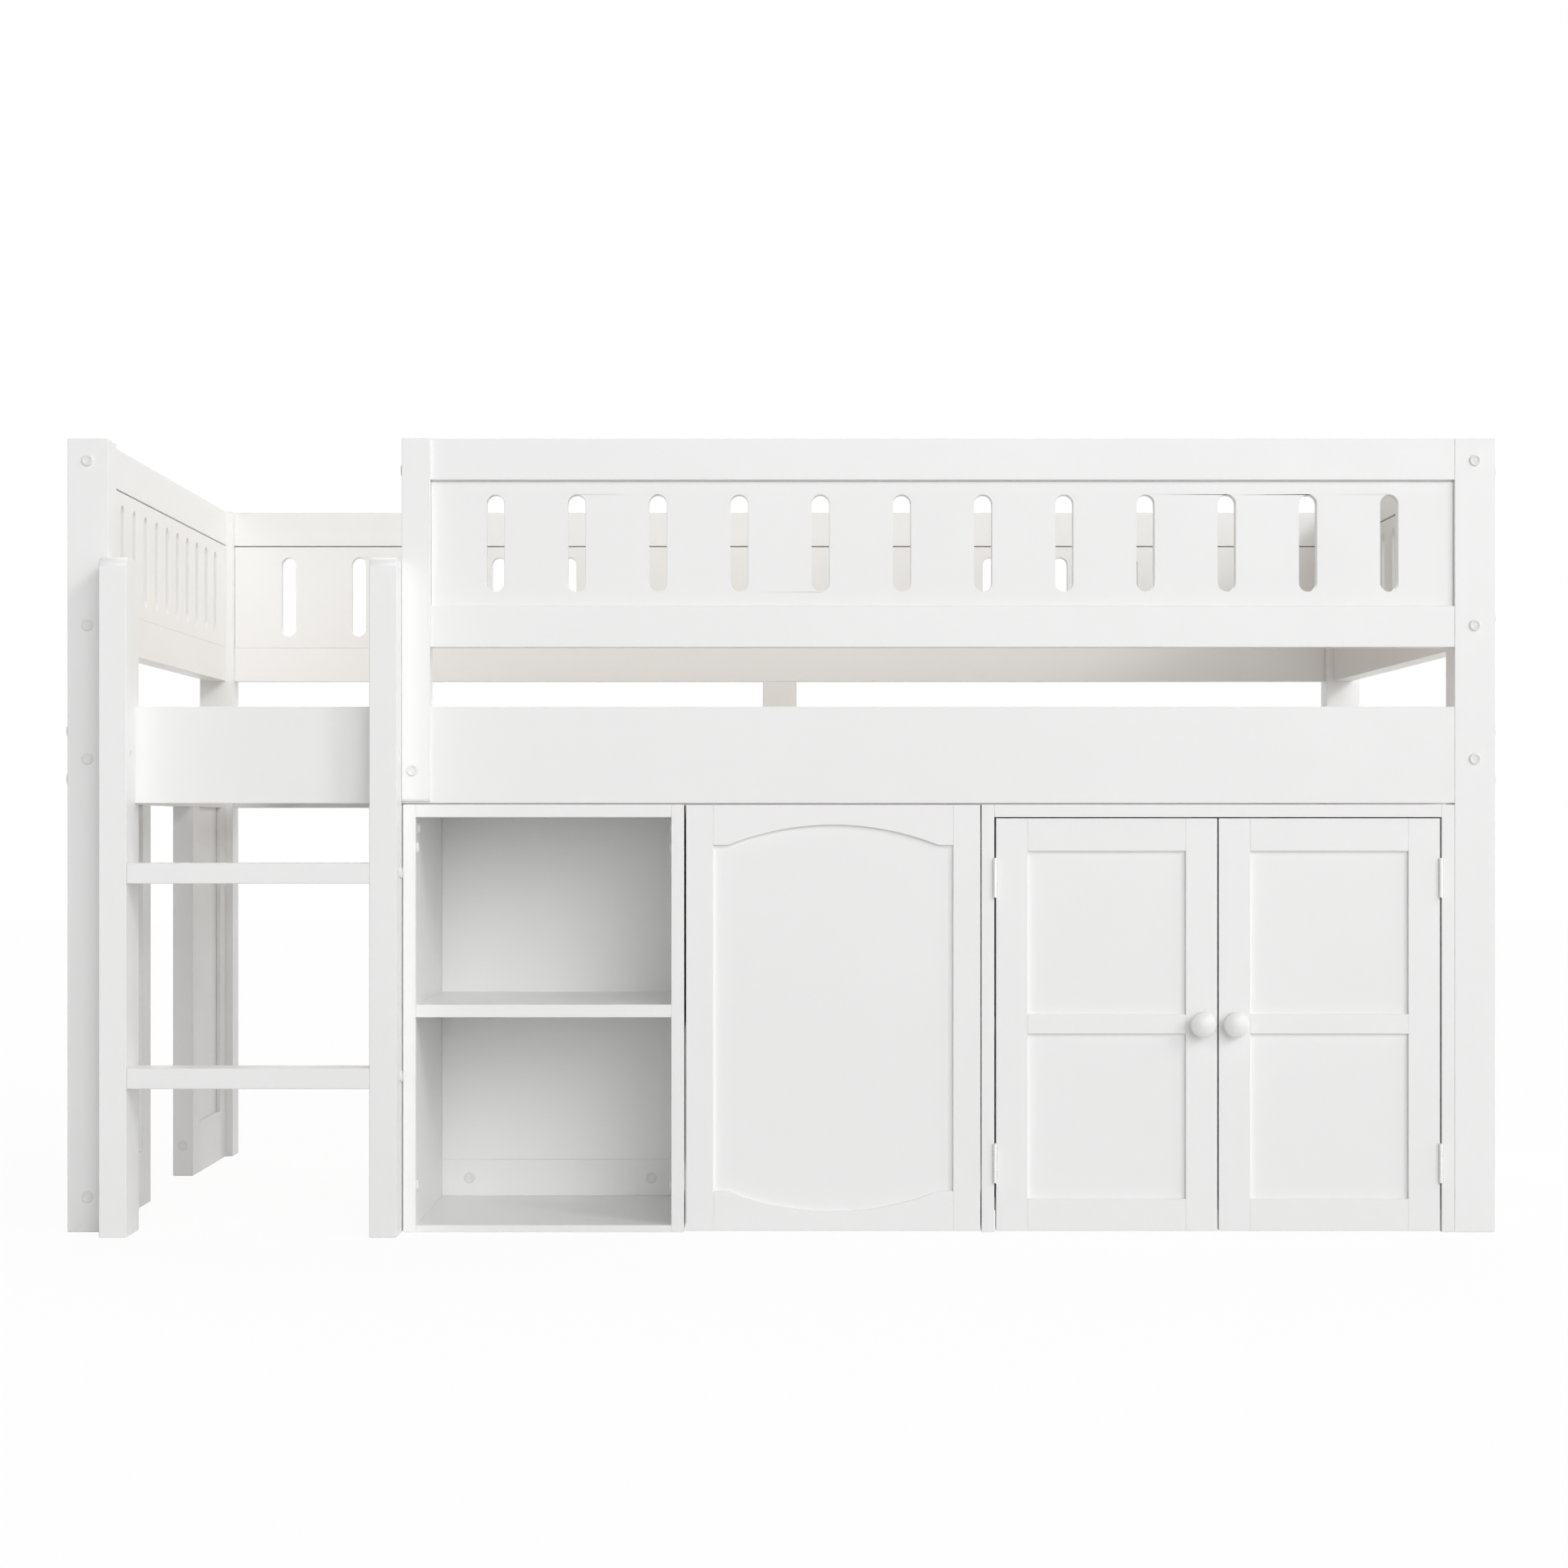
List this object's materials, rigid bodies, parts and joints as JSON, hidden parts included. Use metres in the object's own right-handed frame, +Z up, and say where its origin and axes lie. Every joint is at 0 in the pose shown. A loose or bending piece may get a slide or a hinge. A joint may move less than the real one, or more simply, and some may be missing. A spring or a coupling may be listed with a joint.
{
  "type": "loft bed",
  "caption": "Low loft bed with slotted guards, a front ladder, a shelf unit, a roll-out desk with an arched end and a two-door cabinet.",
  "frame": {"origin": "on the floor, under the middle of the whole part's box", "axes": "+X along the bed to the right as seen from the front, +Y from the ladder side to the rear, +Z up"},
  "size_m": [2.0256, 1.1176, 1.1232],
  "materials": {
    "painted_wood": "satin white paint on solid wood and board",
    "painted_board": "satin white paint on thin board",
    "knob_paint": "satin white paint on turned wood",
    "pine": "bare planed pine",
    "zinc_steel": "zinc plated",
    "hinge_metal": "pale satin plating",
    "cap_plastic": "moulded white plastic",
    "wheel_plastic": "dark grey nylon on a steel axle"
  },
  "bodies": {
    "bed": {"bed_slats": "pine", "bolt_caps": "cap_plastic", "cabinet_back": "painted_board", "cabinet_bottom": "painted_wood", "cabinet_shelf": "painted_wood", "cabinet_side_left": "painted_wood", "cabinet_side_right": "painted_wood", "cabinet_top": "painted_wood", "frame_bolts": "zinc_steel", "front_guard_lower_rail": "painted_wood", "front_guard_post": "painted_wood", "front_guard_slotted_panel": "painted_board", "front_guard_top_rail": "painted_wood", "hinge_fixed_leaves": "hinge_metal", "ladder_rail_left": "painted_wood", "ladder_rail_right": "painted_wood", "ladder_rungs": "painted_wood", "left_end_bed_rail": "painted_wood", "left_end_lower_rail": "painted_wood", "left_end_slotted_panel": "painted_board", "left_end_top_rail": "painted_wood", "leg_frame_front_left": "painted_wood", "leg_frame_rear_left": "painted_wood", "leg_frame_rear_right": "painted_wood", "post_front_left": "painted_wood", "post_front_right": "painted_wood", "post_rear_left": "painted_wood", "post_rear_right": "painted_wood", "rear_guard_lower_rail": "painted_wood", "rear_guard_post": "painted_wood", "rear_guard_slotted_panel": "painted_board", "rear_guard_top_rail": "painted_wood", "right_end_bed_rail": "painted_wood", "right_end_lower_rail": "painted_wood", "right_end_slotted_panel": "painted_board", "right_end_top_rail": "painted_wood", "shelf_back": "painted_board", "shelf_bottom": "painted_wood", "shelf_middle": "painted_wood", "shelf_side_left": "painted_wood", "shelf_side_right": "painted_wood", "shelf_top": "painted_wood", "side_rail_front": "painted_wood", "side_rail_rear": "painted_wood"},
    "left_door": {"door_left_frame": "painted_wood", "door_left_hinge_leaves": "hinge_metal", "door_left_knob": "knob_paint", "door_left_panels": "painted_board"},
    "right_door": {"door_right_frame": "painted_wood", "door_right_hinge_leaves": "hinge_metal", "door_right_knob": "knob_paint", "door_right_panels": "painted_board"},
    "desk": {"desk_axle_blocks": "painted_wood", "desk_back_panel": "painted_board", "desk_front_frame": "painted_wood", "desk_front_panel": "painted_board", "desk_rear_end": "painted_wood", "desk_top": "painted_wood"},
    "front_wheels": {"desk_wheelset_front": "wheel_plastic"},
    "rear_wheels": {"desk_wheelset_rear": "wheel_plastic"}
  },
  "joints": [
    {"name": "left_door_hinge", "type": "hinge", "parent": "bed", "child": "left_door", "pos_m": [0.3028, -0.50265, 0.3], "axis": [0, 0, -1], "range_deg": [0, 110]},
    {"name": "right_door_hinge", "type": "hinge", "parent": "bed", "child": "right_door", "pos_m": [0.9334, -0.50265, 0.3], "axis": [0, 0, 1], "range_deg": [0, 110]},
    {"name": "desk_slide", "type": "slide", "parent": "bed", "child": "desk", "axis": [0, -1, 0], "range_m": [0, 0.8]},
    {"name": "front_wheels_roll", "type": "hinge", "parent": "desk", "child": "front_wheels", "pos_m": [0.0736, -0.45345, 0.022], "axis": [1, 0, 0], "range_deg": [0, 2090]},
    {"name": "rear_wheels_roll", "type": "hinge", "parent": "desk", "child": "rear_wheels", "pos_m": [0.0736, 0.35455, 0.022], "axis": [1, 0, 0], "range_deg": [0, 2090]}
  ],
  "couplings": [
    {"joint": "front_wheels_roll", "follows": "desk_slide", "rad_per_m": 45.455},
    {"joint": "rear_wheels_roll", "follows": "desk_slide", "rad_per_m": 45.455}
  ]
}
